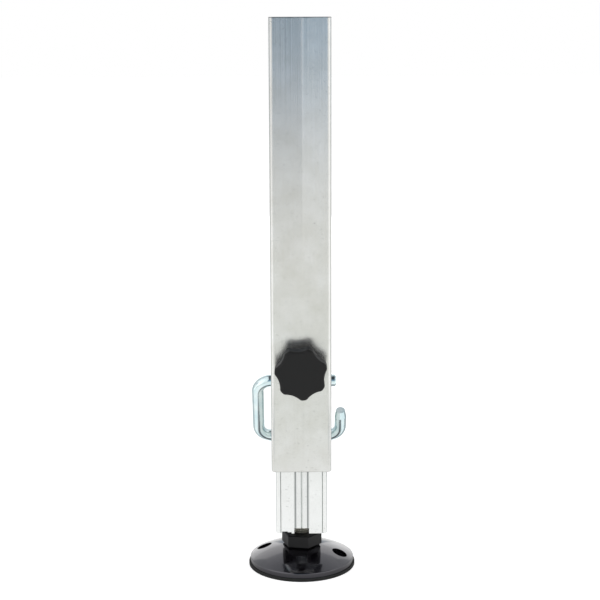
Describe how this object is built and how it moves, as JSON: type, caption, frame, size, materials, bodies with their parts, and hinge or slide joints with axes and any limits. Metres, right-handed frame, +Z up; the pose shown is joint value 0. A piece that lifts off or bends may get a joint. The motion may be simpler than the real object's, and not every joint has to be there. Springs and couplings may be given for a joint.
{
  "type": "stage platform leg",
  "caption": "Telescopic square aluminium leg with a clamping star knob, a bent drop pin and a swivelling levelling foot that screws in and out.",
  "frame": {"origin": "on the leg's axis at the floor, in the middle of the foot's two fixing holes", "axes": "+Z up along the leg, -Y towards the star knob, +X to the right when facing the knob"},
  "size_m": [0.1086, 0.1135, 0.554],
  "materials": {
    "tube_aluminium": "mill finish extrusion with fine lengthwise die lines",
    "leg_aluminium": "bright mill finish extrusion",
    "zinc_plated_steel": "bright blue zinc plating",
    "plain_steel": "zinc plated, satin",
    "knob_plastic": "fine matt moulded black",
    "hex_plastic": "satin moulded black",
    "base_plastic": "glossy moulded black",
    "foot_rubber": "matt black rubber",
    "pad_brass": "turned"
  },
  "bodies": {
    "outer": {"outer_tube": "tube_aluminium", "clamp_nut": "plain_steel"},
    "inner": {"inner_leg": "leg_aluminium"},
    "pin": {"drop_pin": "zinc_plated_steel"},
    "clamp": {"clamp_pad": "pad_brass"},
    "knob": {"star_knob": "knob_plastic", "clamp_screw": "plain_steel"},
    "foot": {"foot_base": "base_plastic", "foot_pad": "foot_rubber", "thrust_washer": "knob_plastic"},
    "spindle": {"spindle": "plain_steel", "hex_collar": "hex_plastic", "retaining_ring": "plain_steel"}
  },
  "joints": [
    {"name": "leg_slide", "type": "slide", "parent": "outer", "child": "inner", "axis": [0, 0, -1], "range_m": [0, 0.29]},
    {"name": "pin_swing", "type": "hinge", "parent": "outer", "child": "pin", "pos_m": [0, 0, 0.1934], "axis": [1, 0, 0], "range_deg": [0, 123]},
    {"name": "knob_travel", "type": "slide", "parent": "outer", "child": "clamp", "axis": [0, -1, 0], "range_m": [0, 0.0045]},
    {"name": "knob_turn", "type": "hinge", "parent": "clamp", "child": "knob", "pos_m": [0, -0.045, 0.2137], "axis": [0, -1, 0], "range_deg": [-1, 1081]},
    {"name": "foot_travel", "type": "slide", "parent": "inner", "child": "foot", "axis": [0, 0, -1], "range_m": [-0.006, 0.05]},
    {"name": "foot_turn", "type": "hinge", "parent": "foot", "child": "spindle", "pos_m": [0, 0, 0.03], "axis": [0, 0, -1], "range_deg": [-1081, 9001]}
  ],
  "couplings": [
    {"joint": "knob_turn", "follows": "knob_travel", "rad_per_m": 4188.8},
    {"joint": "foot_turn", "follows": "foot_travel", "rad_per_m": 3141.6}
  ]
}
